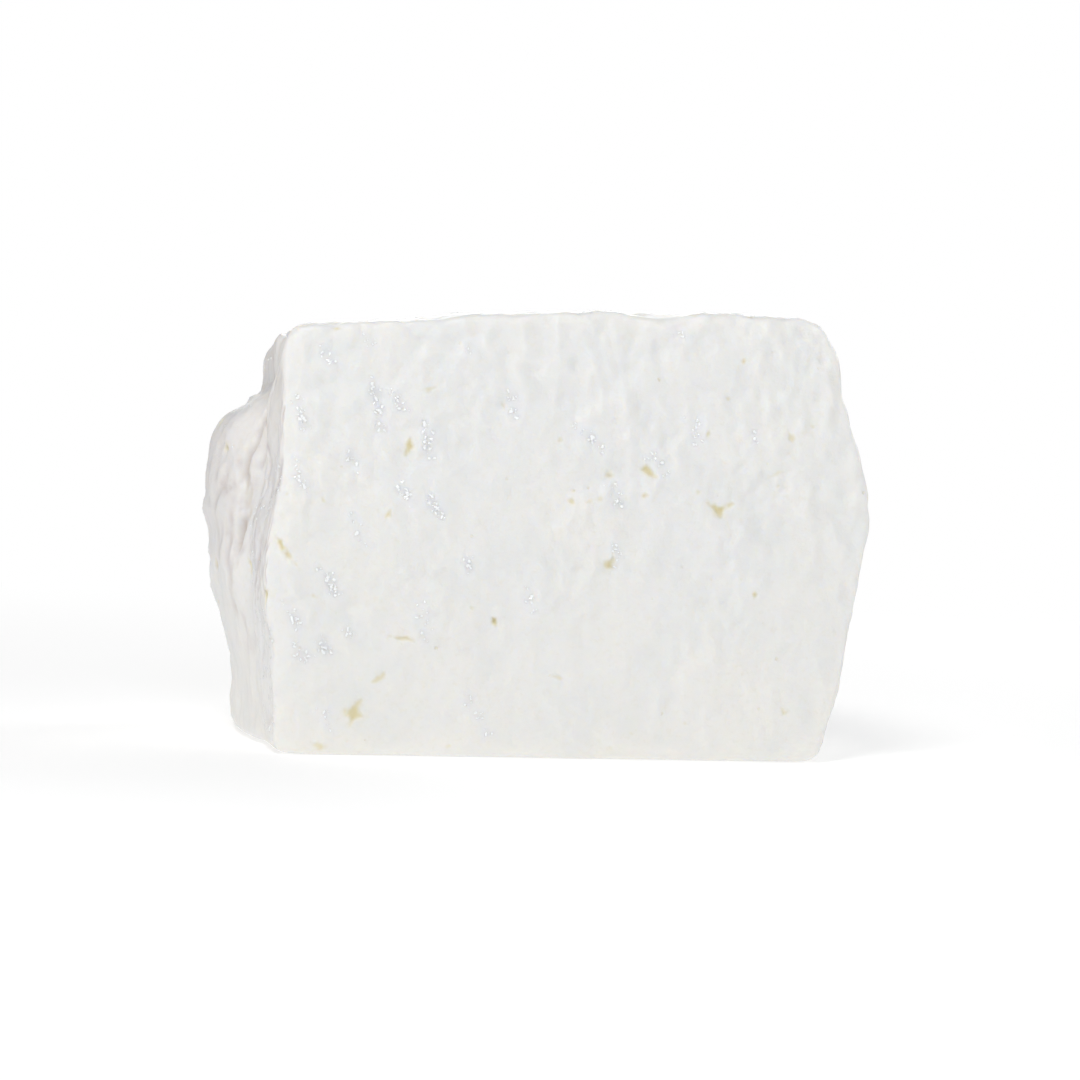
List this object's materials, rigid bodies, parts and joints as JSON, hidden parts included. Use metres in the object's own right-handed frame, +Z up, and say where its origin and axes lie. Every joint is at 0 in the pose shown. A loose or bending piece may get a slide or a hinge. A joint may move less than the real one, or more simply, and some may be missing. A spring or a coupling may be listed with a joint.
{
  "type": "sheep milk cheese",
  "caption": "Hand-cut block of moist white brined cheese with a flat knife-cut front, torn curdy sides, a lobe on the left and a flat underside.",
  "frame": {"origin": "middle of the bounding box in plan, at the level of the flat underside", "axes": "+Z up, the knife-cut front looks along -Y, +X along the block's longest side to the right of the front"},
  "size_m": [0.1026, 0.0682, 0.0712],
  "materials": {
    "white_cheese": "moist milk white, semi-matt with small wet glints, cream in its pits"
  },
  "bodies": {
    "root": {"cheese_block": "white_cheese"}
  },
  "joints": []
}
